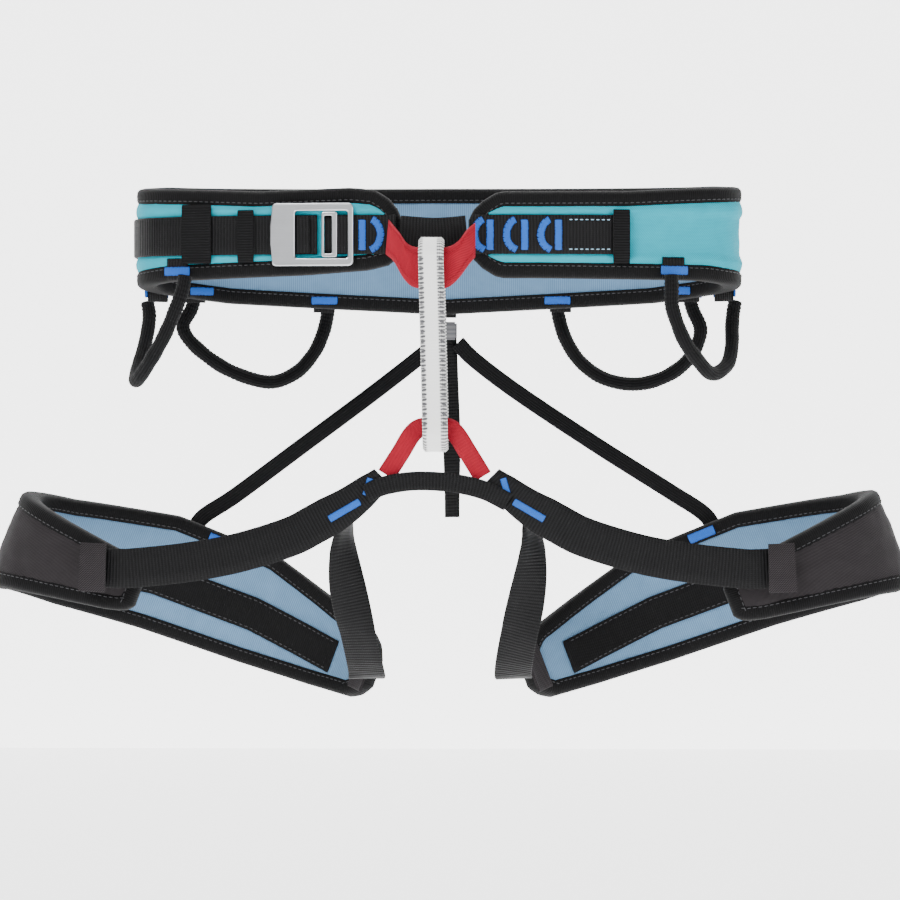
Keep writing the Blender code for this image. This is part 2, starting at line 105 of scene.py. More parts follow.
# Materials ------------------------------------------------------------------
def fabric(name, dark, light, rough, pattern, pitch, depth=0.35, sheen=0.03, metal=0.0,
           blotch=0.25, gloss=0.12):
    """A woven, ribbed or brushed surface; pitch is the repeat in millimetres."""
    m = bpy.data.materials.new(name)
    m.use_nodes = True
    nt = m.node_tree
    add = nt.nodes.new
    link = nt.links.new
    b = nt.nodes["Principled BSDF"]
    uv = add("ShaderNodeUVMap")
    uv.uv_map = "cloth"
    wave = add("ShaderNodeTexWave")
    wave.wave_type = "BANDS"
    wave.bands_direction = "DIAGONAL" if pattern == "twill" else "X"
    if pattern == "along":
        wave.bands_direction = "Y"
    period = 2 * BAND_PERIOD if pattern == "twill" else BAND_PERIOD
    wave.inputs["Scale"].default_value = period / pitch
    wave.inputs["Distortion"].default_value = 0.35
    wave.inputs["Detail"].default_value = 1.0
    link(uv.outputs["UV"], wave.inputs["Vector"])
    cross = add("ShaderNodeTexWave")
    cross.bands_direction = "Y"
    squeeze = 0.8 if pattern == "twill" else 0.6
    cross.inputs["Scale"].default_value = BAND_PERIOD / (pitch * squeeze)
    cross.inputs["Distortion"].default_value = 0.5
    link(uv.outputs["UV"], cross.inputs["Vector"])
    both = add("ShaderNodeMix")
    both.data_type = "FLOAT"
    both.inputs["Factor"].default_value = 0.45 if pattern == "knit" else 0.25
    link(wave.outputs["Fac"], both.inputs["A"])
    link(cross.outputs["Fac"], both.inputs["B"])
    fine = add("ShaderNodeTexNoise")
    fine.inputs["Scale"].default_value = 0.09
    fine.inputs["Detail"].default_value = 6.0
    link(uv.outputs["UV"], fine.inputs["Vector"])
    ramp = add("ShaderNodeValToRGB")
    ramp.color_ramp.elements[0].color = (*dark, 1.0)
    ramp.color_ramp.elements[0].position = 0.12
    ramp.color_ramp.elements[1].color = (*light, 1.0)
    ramp.color_ramp.elements[1].position = 0.88
    link(both.outputs["Result"], ramp.inputs["Fac"])
    worn = add("ShaderNodeMix")
    worn.data_type = "RGBA"
    worn.blend_type = "MULTIPLY"
    worn.inputs["Factor"].default_value = blotch
    link(ramp.outputs["Color"], worn.inputs["A"])
    link(fine.outputs["Fac"], worn.inputs["B"])
    link(worn.outputs["Result"], b.inputs["Base Color"])
    bump = add("ShaderNodeBump")
    bump.inputs["Strength"].default_value = depth
    bump.inputs["Distance"].default_value = 0.0004
    link(both.outputs["Result"], bump.inputs["Height"])
    link(bump.outputs["Normal"], b.inputs["Normal"])
    b.inputs["Roughness"].default_value = rough
    b.inputs["Metallic"].default_value = metal
    b.inputs["Sheen Weight"].default_value = sheen
    b.inputs["Sheen Roughness"].default_value = 0.5
    b.inputs["Specular IOR Level"].default_value = 0.5 if metal else gloss
    return m


def ladder(name, inside, edge, half, rough):
    """Tape with a plain middle and rungs along both edges."""
    m = fabric(name, edge, inside, rough, "ribs", 2.0, 0.3, 0.1, blotch=0.15)
    nt = m.node_tree
    b = nt.nodes["Principled BSDF"]
    uv = nt.nodes.new("ShaderNodeUVMap")
    uv.uv_map = "cloth"
    sep = nt.nodes.new("ShaderNodeSeparateXYZ")
    nt.links.new(uv.outputs["UV"], sep.inputs["Vector"])
    gap = nt.nodes.new("ShaderNodeMath")
    gap.operation = "SUBTRACT"
    gap.inputs[1].default_value = half
    nt.links.new(sep.outputs["Y"], gap.inputs[0])
    size = nt.nodes.new("ShaderNodeMath")
    size.operation = "ABSOLUTE"
    nt.links.new(gap.outputs["Value"], size.inputs[0])
    step = nt.nodes.new("ShaderNodeMapRange")
    step.inputs["From Min"].default_value = half * 0.5
    step.inputs["From Max"].default_value = half * 0.62
    nt.links.new(size.outputs["Value"], step.inputs["Value"])
    mix = nt.nodes.new("ShaderNodeMix")
    mix.data_type = "RGBA"
    mix.inputs["A"].default_value = (*inside, 1.0)
    old = b.inputs["Base Color"].links[0].from_socket
    nt.links.new(step.outputs["Result"], mix.inputs["Factor"])
    nt.links.new(old, mix.inputs["B"])
    nt.links.new(mix.outputs["Result"], b.inputs["Base Color"])
    return m


TEAL = fabric("teal_weave", (0.001, 0.20, 0.27), (0.006, 0.44, 0.55), 0.75, "twill", 1.5, 0.5, 0.05)
LINING = fabric("blue_knit", (0.08, 0.155, 0.26), (0.15, 0.275, 0.42), 0.9, "knit", 1.3, 0.5, 0.06)
CHARCOAL = fabric("charcoal_weave", (0.006, 0.005, 0.006), (0.032, 0.028, 0.030), 0.8, "twill",
                  1.6, 0.5, 0.03)
WEBBING = fabric("black_webbing", (0.0003, 0.0003, 0.0004), (0.006, 0.006, 0.0068), 0.5, "ribs",
                 2.1, 0.8, 0.01)
TAPE = fabric("black_edge_tape", (0.0004, 0.0004, 0.0005), (0.004, 0.004, 0.0045), 0.75, "ribs",
              1.4, 0.5, 0.02)
KNIT = fabric("black_knit", (0.0003, 0.0003, 0.0004), (0.006, 0.006, 0.0068), 0.8, "along",
              1.7, 0.7, 0.02)
ELASTIC = fabric("black_elastic", (0.0003, 0.0003, 0.0004), (0.006, 0.006, 0.0068), 0.7, "along",
                 1.6, 0.7, 0.02)
RED = fabric("red_webbing", (0.19, 0.002, 0.009), (0.38, 0.009, 0.026), 0.6, "twill", 1.2, 0.4,
             0.03)
WHITE = ladder("white_belay_tape", (0.78, 0.78, 0.77), (0.07, 0.07, 0.075), 8.0, 0.6)
THREAD = fabric("blue_thread", (0.008, 0.06, 0.36), (0.03, 0.18, 0.64), 0.45, "along", 0.5, 0.3,
                0.03)
PALE_THREAD = fabric("pale_thread", (0.25, 0.45, 0.6), (0.45, 0.65, 0.8), 0.5, "along", 0.5, 0.2)
BLACK_THREAD = fabric("black_thread", (0.012, 0.012, 0.014), (0.08, 0.08, 0.085), 0.5, "along",
                      0.5, 0.2)
ALLOY = fabric("brushed_alloy", (0.42, 0.43, 0.45), (0.66, 0.67, 0.69), 0.3, "along", 0.7, 0.06,
               0.0, 1.0, 0.12)
PLASTIC = fabric("grey_plastic", (0.14, 0.14, 0.15), (0.22, 0.22, 0.23), 0.45, "along", 3.0, 0.05,
                 0.0)


def skin(name, body, rings, look, closed=False, nodes=(), sharp=50):
    """Skin a row of equal rings, with cloth coordinates in millimetres."""
    n = len(rings[0])
    count = len(rings)
    verts = [Vector(p) * MM for r in rings for p in r]
    along = [0.0]
    for a, b in zip(rings, rings[1:]):
        along.append(along[-1] + (sum(b, Vector()) - sum(a, Vector())).length / n)
    along.append(along[-1] + (sum(rings[0], Vector()) - sum(rings[-1], Vector())).length / n)
    mid = rings[count // 2]
    round_it = [0.0]
    for k in range(n):
        round_it.append(round_it[-1] + (mid[(k + 1) % n] - mid[k]).length)
    faces = []
    marks = []
    for i in range(count if closed else count - 1):
        j = (i + 1) % count
        for k in range(n):
            m = (k + 1) % n
            faces.append((i * n + k, i * n + m, j * n + m, j * n + k))
            marks.append(((along[i], round_it[k]), (along[i], round_it[k + 1]),
                          (along[i + 1], round_it[k + 1]), (along[i + 1], round_it[k])))
    if not closed:
        for base in (0, (count - 1) * n):
            faces.append(tuple(base + k for k in range(n)))
            marks.append(tuple((k * 0.5, round_it[k]) for k in range(n)))
    return finish_piece(name, body, verts, faces, marks, look, nodes, sharp)


def finish_piece(name, body, verts, faces, marks, look, nodes=(), sharp=50):
    """Make the mesh with its cloth coordinates and put it on its body."""
    me = bpy.data.meshes.new(name)
    me.from_pydata(verts, [], faces)
    layer = me.uv_layers.new(name="cloth")
    i = 0
    for m in marks:
        for co in m:
            layer.data[i].uv = co
            i += 1
    bm = bmesh.new()
    bm.from_mesh(me)
    bmesh.ops.recalc_face_normals(bm, faces=bm.faces)
    bm.to_mesh(me)
    bm.free()
    ob = bpy.data.objects.new(name, me)
    bpy.context.scene.collection.objects.link(ob)
    me.materials.append(look)
    me.shade_smooth()
    me.set_sharp_from_angle(angle=math.radians(sharp))
    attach(ob, body)
    if nodes:
        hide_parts(*nodes)
    return ob


def threads(name, body, runs, radius, look):
    """Short sewn threads, each a small closed lozenge."""
    verts = []
    faces = []
    marks = []
    for p, q, up in runs:
        d = (q - p).normalized()
        side = d.cross(up).normalized()
        up = side.cross(d)
        base = len(verts)
        for f, k in ((0.0, 0.45), (0.25, 1.0), (0.75, 1.0), (1.0, 0.45)):
            c = p.lerp(q, f)
            for g in range(5):
                t = math.tau * g / 5
                w = c + side * (math.cos(t) * radius * k) + up * (math.sin(t) * radius * k)
                verts.append(w * MM)
        for r in range(3):
            for g in range(5):
                h = (g + 1) % 5
                faces.append((base + r * 5 + g, base + r * 5 + h, base + r * 5 + 5 + h,
                              base + r * 5 + 5 + g))
                marks.append(((r, g), (r, g + 1), (r + 1, g + 1), (r + 1, g)))
        faces.append(tuple(base + g for g in range(5)))
        marks.append(tuple((0, g) for g in range(5)))
        faces.append(tuple(base + 15 + g for g in range(5)))
        marks.append(tuple((0, g) for g in range(5)))
    return finish_piece(name, body, verts, faces, marks, look)


def spline(points, count):
    """Evenly numbered samples of a Catmull-Rom curve through the points."""
    pts = [Vector(p) for p in points]
    ext = [pts[0] * 2 - pts[1]] + pts + [pts[-1] * 2 - pts[-2]]
    out = []
    spans = len(pts) - 1
    for i in range(count):
        u = i / (count - 1) * spans
        k = min(int(u), spans - 1)
        t = u - k
        a, b, c, d = ext[k:k + 4]
        out.append(0.5 * (2 * b + (c - a) * t + (2 * a - 5 * b + 4 * c - d) * t * t
                          + (3 * b - a - 3 * c + d) * t ** 3))
    return out


def profile(keys, x):
    """Straight-line value between (position, value) keys."""
    if x <= keys[0][0]:
        return keys[0][1]
    for (x0, y0), (x1, y1) in zip(keys, keys[1:]):
        if x <= x1:
            t = (x - x0) / (x1 - x0)
            return y0 + (y1 - y0) * t
    return keys[-1][1]


def facing(_f, t):
    """Across a strip whose flat side looks forward."""
    return t.cross(BACKWARD)


class Shell:
    """A curved wall: s runs along an oval, v up the wall and n outward."""

    def __init__(self, a, b, power, centre, tilt, side, start, sweep):
        self.centre = Vector(centre)
        self.u = Vector((math.cos(tilt), 0.0, -math.sin(tilt)))
        self.w = Vector((math.sin(tilt), 0.0, math.cos(tilt)))
        self.side = side
        self.pts = []
        steps = 720
        for i in range(steps + 1):
            t = math.radians(start + sweep * i / steps)
            c = math.cos(t)
            s = math.sin(t)
            x = a * math.copysign(abs(c) ** (2 / power), c)
            y = b * math.copysign(abs(s) ** (2 / power), s)
            self.pts.append(Vector((x, y)))
        self.run = [0.0]
        for p, q in zip(self.pts, self.pts[1:]):
            self.run.append(self.run[-1] + (q - p).length)
        self.length = self.run[-1]
        self.turn = 1.0 if sweep < 0 else -1.0

    def flat(self, s):
        s = min(max(s, 0.0), self.length)
        lo, hi = 0, len(self.run) - 1
        while hi - lo > 1:
            mid = (lo + hi) // 2
            if self.run[mid] <= s:
                lo = mid
            else:
                hi = mid
        t = (s - self.run[lo]) / max(self.run[hi] - self.run[lo], 1e-9)
        p = self.pts[lo].lerp(self.pts[hi], t)
        a = self.pts[max(lo - 6, 0)]
        b = self.pts[min(hi + 6, len(self.pts) - 1)]
        d = (b - a).normalized()
        return p, Vector((-d.y, d.x)) * self.turn, d

    def at(self, s, v, n):
        over = s - min(max(s, 0.0), self.length)
        p, out, d = self.flat(s)
        q = p + out * n + d * over
        w = self.centre + self.u * q.x + Vector((0, q.y, 0)) + self.w * v
        return Vector((w.x * self.side, w.y, w.z))

    def find(self, x, front):
        """The distance along the wall where it passes a given x."""
        best = None
        for i, p in enumerate(self.pts):
            if (p.y < 0) == front:
                e = abs(p.x - x)
                if best is None or e < best[0]:
                    best = (e, self.run[i])
        return best[1]


def ribbon(name, body, centres, across, width, thick, look, closed=False, nodes=(),
           ribs=0.0, pitch=2.1, taper=None):
    """Webbing along a free path, with soft edges and cross ribs."""
    rows = []
    n = len(centres)
    run = 0.0
    for i, p in enumerate(centres):
        a = centres[i - 1] if closed or i > 0 else centres[0]
        b = centres[(i + 1) % n] if closed or i < n - 1 else centres[-1]
        t = (b - a).normalized()
        if i:
            run += (p - centres[i - 1]).length
        w = across(i / (n - 1), t)
        w = (w - t * w.dot(t)).normalized()
        m = t.cross(w)
        k = width / 2
        if taper:
            k *= profile(taper, i / (n - 1))
        h = thick / 2 * (1.0 + ribs * math.cos(math.tau * run / pitch))
        e = thick * 0.45
        rows.append([p - w * k, p - w * (k - e) - m * h, p - w * k * 0.4 - m * h * 0.92,
                     p + w * k * 0.4 - m * h * 0.92, p + w * (k - e) - m * h,
                     p + w * k, p + w * (k - e) + m * h, p + w * k * 0.4 + m * h * 0.92,
                     p - w * k * 0.4 + m * h * 0.92, p - w * (k - e) + m * h])
    return skin(name, body, rows, look, closed, nodes, 60)


def strip_on(name, body, shell, s0, s1, mid, width, n0, n1, look, slot, nodes=(), step=2.0,
             ribs=0.0, bow=0.0, wave=0.0):
    """Flat webbing lying on a wall, with soft edges."""
    count = max(4, int(abs(s1 - s0) / step))
    rows = []
    for i in range(count + 1):
        f = i / count
        s = s0 + (s1 - s0) * f
        k = width / 2
        c = mid(s)
        lift = wave * noise.noise(Vector((s / 17.0, c / 9.0, 3.0)))
        up = (n1 - n0) / 2
        m = (n0 + n1) / 2 + lift
        h = up * (1.0 + ribs * (1 if i % 2 else -1))
        row = []
        for v, g in ((-k, 0), (-k + 0.9, -1), (-k * 0.5, -1), (k * 0.5, -1), (k - 0.9, -1),
                     (k, 0), (k - 0.9, 1), (k * 0.5, 1), (0, 1), (-k * 0.5, 1), (-k + 0.9, 1)):
            crown = bow * (1 - (v / k) ** 2) if g > 0 else 0.0
            row.append(shell.at(s, c + v, m + g * h + crown))
        rows.append(row)
    return skin(name, body, rows, look, False, nodes, 60)


def stops_for(s0, s1, step):
    """Places along a pad, closer together towards its two ends."""
    ends = [0, 1.5, 3, 5.5, 8, 12, 16, 21, 26, 32]
    count = int((s1 - s0 - 80) / step)
    body = [s0 + 40 + (s1 - s0 - 80) * i / count for i in range(count + 1)]
    return [s0 + x for x in ends] + body + [s1 - x for x in reversed(ends)]


def pad(name, body, shell, s0, s1, top, bottom, sign, puff, look, nodes, step=3.0,
        across=26, seed=1.0):
    """One soft face of a pad: crowned foam under cloth, dimpled along its edges."""
    rows = []
    for s in stops_for(s0, s1, step):
        a = top(s)
        b = bottom(s)
        row = []
        for j in range(across + 1):
            f = j / across
            v = b + (a - b) * f
            edge = min(v - b, a - v)
            ends = min(s - s0, s1 - s)
            hold = min(1.0, min(edge, ends) / 9.0)
            n = 2.6 + hold * puff(s, v, a, b)
            crease = noise.noise(Vector((s / 11.0, v / 8.0, seed))) * 0.55
            crease += noise.noise(Vector((s / 4.0, v / 14.0, seed + 7))) * 0.3
            gather = math.exp(-((edge - 10.0) / 4.0) ** 2) * 0.32
            crease += gather * math.sin(math.tau * s / 6.5 + 2.0 * noise.noise(
                Vector((s / 20.0, seed, 0))))
            n += crease * hold
            row.append(shell.at(s, v, sign * n + (1.4 if sign > 0 else -2.0)))
        row.append(shell.at(s, a, -0.4))
        row.append(shell.at(s, b, -0.4))
        rows.append(row)
    ob = skin(name, body, rows, look, False, nodes, 70)
    return ob


def edge_ring(s0, s1, top, bottom, step):
    """The outline of a pad as (along, up) wall points."""
    runs = stops_for(s0, s1, step)
    return [Vector((s, top(s))) for s in runs] + [Vector((s, bottom(s))) for s in reversed(runs)]


def ring_out(ring, i):
    """The direction out of the outline, in the wall."""
    n = len(ring)
    d = (ring[(i + 1) % n] - ring[i - 1]).normalized()
    return Vector((-d.y, d.x))


def binding(name, body, shell, s0, s1, top, bottom, node, step=3.5):
    """Folded edge tape round a pad, with its row of stitches."""
    ring = edge_ring(s0, s1, top, bottom, step)
    rows = []
    for i, p in enumerate(ring):
        out = ring_out(ring, i)
        soft = 0.25 * noise.noise(Vector((p.x / 9.0, p.y / 9.0, 5.0)))
        row = []
        for nn, e in ((4.9, -8.0), (5.6, -8.2), (6.2 + soft, -7.0), (6.6 + soft, -3.5),
                      (6.2, -0.6), (4.6, 1.0), (1.5, 1.7), (-2.4, 1.7), (-5.6, 1.0),
                      (-7.1, -0.6), (-7.5 + soft, -3.5), (-7.1, -7.0), (-6.5, -8.2),
                      (-5.9, -8.0), (-5.6, -2.0), (4.6, -2.0)):
            row.append(shell.at(p.x + out.x * e, p.y + out.y * e, nn))
        rows.append(row)
    skin(name, body, rows, TAPE, True, (node,), 55)
    sew(name + "_stitches", body, shell, ring, -6.2, (6.5, -7.4), 3.6, 2.4, BLACK_THREAD)


def sew(name, body, shell, ring, inset, levels, pitch, length, look):
    """Stitches that follow a ring of wall points at a fixed inset."""
    runs = []
    n = len(ring)
    spill = 0.0
    for i in range(n):
        a = ring[i] + ring_out(ring, i) * inset
        b = ring[(i + 1) % n] + ring_out(ring, (i + 1) % n) * inset
        length_here = (b - a).length
        if length_here < 1e-6:
            continue
        t = spill
        while t < length_here:
            p = a.lerp(b, t / length_here)
            q = a.lerp(b, (t + length) / length_here)
            for level in levels:
                w0 = shell.at(p.x, p.y, level)
                w1 = shell.at(q.x, q.y, level)
                up = (shell.at(p.x, p.y, level + 1.0) - w0).normalized()
                runs.append((w0, w1, up))
            t += pitch
        spill = t - length_here
    threads(name, body, runs, STITCH_RADIUS, look)


def row_of_stitches(name, body, shell, s0, s1, v, level, pitch, length, look):
    """One straight row of stitches along a wall."""
    runs = []
    count = int(abs(s1 - s0) / pitch)
    for i in range(count):
        s = s0 + (s1 - s0) * (i + 0.2) / count
        e = s + math.copysign(length, s1 - s0)
        p = shell.at(s, v, level)
        runs.append((p, shell.at(e, v, level), (shell.at(s, v, level + 1) - p).normalized()))
    threads(name, body, runs, STITCH_RADIUS, look)


def tack(name, body, shell, path, width, level, pitch=0.62):
    """A bar tack: satin threads laid side by side across a short path."""
    runs = []
    for (a, b) in zip(path, path[1:]):
        a = Vector(a)
        b = Vector(b)
        d = (b - a).normalized()
        side = Vector((-d.y, d.x))
        count = max(1, int((b - a).length / pitch))
        for i in range(count):
            c = a.lerp(b, i / count)
            wob = 0.35 * noise.noise(Vector((c.x * 3.0, c.y * 3.0, 1.0)))
            p = c - side * (width / 2 + wob)
            q = c + side * (width / 2 - wob)
            w0 = shell.at(p.x, p.y, level)
            runs.append((w0, shell.at(q.x, q.y, level),
                         (shell.at(p.x, p.y, level + 1) - w0).normalized()))
    threads(name, body, runs, TACK_RADIUS, THREAD)


def free_tack(name, body, a, b, width, pitch=0.62):
    """A bar tack on webbing away from a wall, laid between two points."""
    a = Vector(a)
    b = Vector(b)
    d = (b - a).normalized()
    side = d.cross(FORWARD).normalized()
    runs = []
    count = int((b - a).length / pitch)
    for i in range(count):
        c = a.lerp(b, i / count)
        runs.append((c - side * width / 2, c + side * width / 2, FORWARD))
    threads(name, body, runs, TACK_RADIUS, THREAD)


def arc_path(s, v, radius, low, high, flip, steps=9):
    """A crescent on the wall, taller than it is wide."""
    path = []
    for i in range(steps + 1):
        t = math.radians(low + (high - low) * i / steps)
        path.append((s + flip * radius * math.cos(t), v + radius * 1.25 * math.sin(t)))
    return path


# Waist belt -----------------------------------------------------------------
waist = Shell(WAIST_HALF_WIDTH, WAIST_HALF_DEPTH, WAIST_POWER, (0, 0, 0), 0.0, 1.0, 270.0, -360.0)
S_LEFT = waist.find(-WAIST_GAP_HALF, True)
S_RIGHT = waist.find(WAIST_GAP_HALF, True)
PAD_LEN = S_RIGHT - S_LEFT
TOP_KEYS = [(0, 9), (3, 16), (8, 22), (16, 27), (30, 28.5), (90, 26.5), (170, 30), (215, 33.5),
            (400, 34), (585, 33.5), (640, 30), (700, 26.5), (760, 26)]
BOTTOM_KEYS = [(0, -9), (3, -14), (8, -18), (20, -21), (60, -24), (150, -27), (200, -32),
               (260, -39), (400, -46), (540, -39), (600, -32), (650, -27), (760, -26)]


def fold_end(s, keys, sign):
    """Height profile of the belt with its far end rounded as well."""
    x = (s - S_LEFT) * WAIST_PROFILE_LENGTH / PAD_LEN
    v = profile(keys, min(x, 760))
    rest = WAIST_PROFILE_LENGTH - x
    cap = profile([(0, 9), (3, 15), (8, 20), (16, 25), (26, 60)], max(rest, 0))
    return sign * min(abs(v), cap)


def waist_top(s):
    return fold_end(s, TOP_KEYS, 1.0)


def waist_bottom(s):
    return fold_end(s, BOTTOM_KEYS, -1.0)


def sx(x, front=True):
    """The distance along the belt at a given x."""
    return waist.find(x, front)


def waist_face_puff(s, v, a, b):
    """Foam stands proud above and below the webbing and is pressed under it."""
    half = WEBBING_WIDTH / 2
    if abs(v) < half:
        return 1.0 + 0.5 * (abs(v) / half) ** 4
    edge = a if v > 0 else -b
    span = max(edge - 8.0 - half, 1.0)
    f = (abs(v) - half) / span
    return 1.2 + 1.9 * math.sin(math.pi * min(max(f, 0.0), 1.0) ** 0.8)


def lining_puff(s, v, a, b):
    """The lining bulges most at its middle."""
    f = (v - b) / max(a - b, 1.0)
    return 0.8 + 1.6 * math.sin(math.pi * f)


pad("waist_face_cloth", "waist", waist, S_LEFT, S_RIGHT, waist_top, waist_bottom, 1,
    waist_face_puff, TEAL, ("waist_face_fabric", "waist_foam_core"), seed=2.0)
pad("waist_lining_cloth", "waist", waist, S_LEFT, S_RIGHT, waist_top, waist_bottom, -1,
    lining_puff, LINING, ("waist_lining",), seed=5.0)
binding("waist_edge_tape", "waist", waist, S_LEFT, S_RIGHT, waist_top, waist_bottom,
        "waist_binding")


def level(_s):
    """Webbing that runs along the middle of the belt."""
    return 0.0


def web(name, node, s0, s1):
    strip_on(name, "waist", waist, s0, s1, level, WEBBING_WIDTH, WEB_ON_PAD, WEB_TOP, WEBBING,
             "black_webbing", (node,), 1.1, 0.10, 0.0, 0.3)


web("waist_web_adjust", "waist_webbing_adjust", sx(-75), sx(-150, False))
web("waist_web_left", "waist_webbing_left_sewn", sx(-24), sx(-69))
web("waist_web_right", "waist_webbing_right", sx(22), sx(120))
BRIDGE = [Vector((-22.5, -65.5, 0)), Vector((-10, -65.9, -1)), Vector((0, -66, -1.5)),
          Vector((10, -65.9, -1)), Vector((20.5, -65.5, 0))]
ribbon("waist_web_bridge", "waist", spline(BRIDGE, 30), lambda f, t: Vector((0, 0, 1)), 24.0, 1.4,
       WEBBING, nodes=("waist_webbing_bridge",), ribs=0.08)


def keeper(name, node, x0, x1, low, high):
    """A knitted band that holds the webbing to the belt."""
    strip_on(name, "waist", waist, sx(x0), sx(x1), lambda s: (low + high) / 2, high - low, KEEP0,
             KEEP0 + 1.3, KNIT, "black_webbing", (node,), 1.2, 0.06, 0.7)


keeper("keeper_wide", "waist_keeper_wide", -141, -159, -18, 20)
keeper("keeper_narrow", "waist_keeper_narrow", -114, -125, -17.5, 16)
keeper("keeper_right", "waist_keeper_right", 112, 122, -18.5, 16)

# Buckle: a broad bar with a waved edge, two arms and a sliding bar
buckle_s0 = sx(-51)
buckle_s1 = sx(-104)


def plate(name, outer, inner, n0, n1, node, bevel=0.9):
    """A metal plate with a window, rounded over and laid on the belt."""
    verts = []
    m = len(outer)
    for ring in (outer, inner):
        for n in (n0, n1):
            for a, b in ring:
                verts.append(waist.at(a, b, n) * MM)
    faces = []
    marks = []
    flat = outer + outer + inner + inner
    for k in range(m):
        j = (k + 1) % m
        for f in ((k, j, m + j, m + k), (2 * m + k, 2 * m + j, 3 * m + j, 3 * m + k),
                  (k, j, 2 * m + j, 2 * m + k), (m + k, m + j, 3 * m + j, 3 * m + k)):
            faces.append(f)
            marks.append(tuple(flat[i] for i in f))
    ob = finish_piece(name, "waist", verts, faces, marks, ALLOY, (node,), 40)
    mod = ob.modifiers.new("round", "BEVEL")
    mod.width = bevel * MM
    mod.segments = 3
    mod.limit_method = "ANGLE"
    mod.angle_limit = math.radians(50)
    return ob


def round_rect(s0, s1, v0, v1, radius, steps=6):
    pts = []
    for cx, cy, g in ((s1 - radius, v1 - radius, 0), (s0 + radius, v1 - radius, 90),
                      (s0 + radius, v0 + radius, 180), (s1 - radius, v0 + radius, 270)):
        for i in range(steps + 1):
            t = math.radians(g + 90 * i / steps)
            pts.append((cx + radius * math.cos(t), cy + radius * math.sin(t)))
    return pts


def denser(pts, parts=3):
    """The same closed outline with every side cut in equal parts."""
    out = []
    for a, b in zip(pts, pts[1:] + pts[:1]):
        for i in range(parts):
            f = i / parts
            out.append((a[0] + (b[0] - a[0]) * f, a[1] + (b[1] - a[1]) * f))
    return out


def bowed(s, v):
    """The free edge of the broad bar swells at its middle and its ends."""
    if s < buckle_s1 - 6:
        return 0.0
    return 1.1 * math.cos(v / 20.0 * math.tau * 0.75) - 0.6


outer = [(s + bowed(s, v), v) for s, v in denser(round_rect(buckle_s0, buckle_s1, -20, 20, 3.5))]
window = denser(round_rect(buckle_s0 + 3.5, buckle_s1 - 16, -15, 15, 1.6))
plate("buckle_frame", outer, window, *PLATE_LEVELS, "waist_buckle_frame")
slide = denser(round_rect(sx(-62), sx(-72), -14.5, 14.5, 1.5))
slot_in = denser(round_rect(sx(-64.5), sx(-69.0), -12.0, 12.0, 0.8))
plate("buckle_slide", slide, slot_in, *SLIDE_LEVELS, "waist_buckle_slide_bar", 0.6)
for name, x0, x1 in (("buckle_web_over_bar", -78.5, -87), ("buckle_web_fold", -52, -62.5)):
    strip_on(name, "waist", waist, sx(x0), sx(x1), level, 24.0, *BUCKLE_WEB_LEVELS, WEBBING,
             "black_webbing", (), 1.0, 0.12, 0.0)

# Tacks on the waist webbing: a straight bar beside a crescent
def bar_tack(name, x):
    tack(name, "waist", waist, [(sx(x), -9.5), (sx(x), 9.5)], 4.4, TACK_LEVEL)


def arc_tack(name, x, flip):
    tack(name, "waist", waist, arc_path(sx(x), 0, 8.0, -75, 75, flip), 4.6, TACK_LEVEL)


bar_tack("tack_left_bar", -45.5)
arc_tack("tack_left_arc", -42.5, -1)
for i, (x_arc, x_bar) in enumerate(((33, 35.5), (53, 56.5), (74, 78))):
    arc_tack("tack_right_arc_%d" % i, x_arc, 1)
    bar_tack("tack_right_bar_%d" % i, x_bar)
for row, v in (("top", 9.4), ("low", -9.4)):
    row_of_stitches("run_right_" + row, "waist", waist, sx(84), sx(110), v, 8.75, 3.2, 2.0,
                    PALE_THREAD)

# Upper tie-in strip
UPPER_TOP = [(-29, -74.5, 9.0), (-22, -79, 0.5), (-17, -82.5, -6.4), (-10.6, BELAY_Y, -9.0),
             (0, BELAY_Y, -9.2), (8, BELAY_Y, -9.0), (15, -83, -5.5), (21, -79, 2.5),
             (26, -74.5, 7.0)]
UPPER_BOTTOM = [(-31, -74.5, -13), (-25.5, -79, -18), (-19, -82.5, -29), (-12, BELAY_Y, -34.6),
                (0, BELAY_Y, -35), (8.5, BELAY_Y, -34.6), (15.5, -83, -29), (22, -79, -20),
                (26, -74.5, -15)]


def edge_band(name, body, top, bottom, thick, look, node, folds=0.0):
    """A soft flat band between two edge lines."""
    rows = []
    for i, (a, b) in enumerate(zip(top, bottom)):
        row = []
        for f, g in ((0, 0), (0.06, -1), (0.3, -1), (0.5, -1), (0.7, -1), (0.94, -1), (1, 0),
                     (0.94, 1), (0.7, 1), (0.5, 1), (0.3, 1), (0.06, 1)):
            p = b.lerp(a, f)
            w = folds * noise.noise(Vector((i / 4.0, f * 2.5, 4.0)))
            row.append(p + Vector((0, g * thick / 2 + w, 0)))
        rows.append(row)
    return skin(name, body, rows, look, False, (node,), 60)


edge_band("tie_in_upper", "waist", spline(UPPER_TOP, 49), spline(UPPER_BOTTOM, 49), 2.6, RED,
          "upper_tie_in_strip", 0.8)
upper_a = spline(UPPER_TOP, 40)
upper_b = spline(UPPER_BOTTOM, 40)
runs = []
for f in (0.16, 0.84):
    for i in range(38):
        p = upper_b[i].lerp(upper_a[i], f) + FORWARD * 1.6
        q = upper_b[i + 1].lerp(upper_a[i + 1], f) + FORWARD * 1.6
        runs.append((p, p.lerp(q, 0.65), FORWARD))
threads("tie_in_upper_stitches", "waist", runs, 0.3, RED)

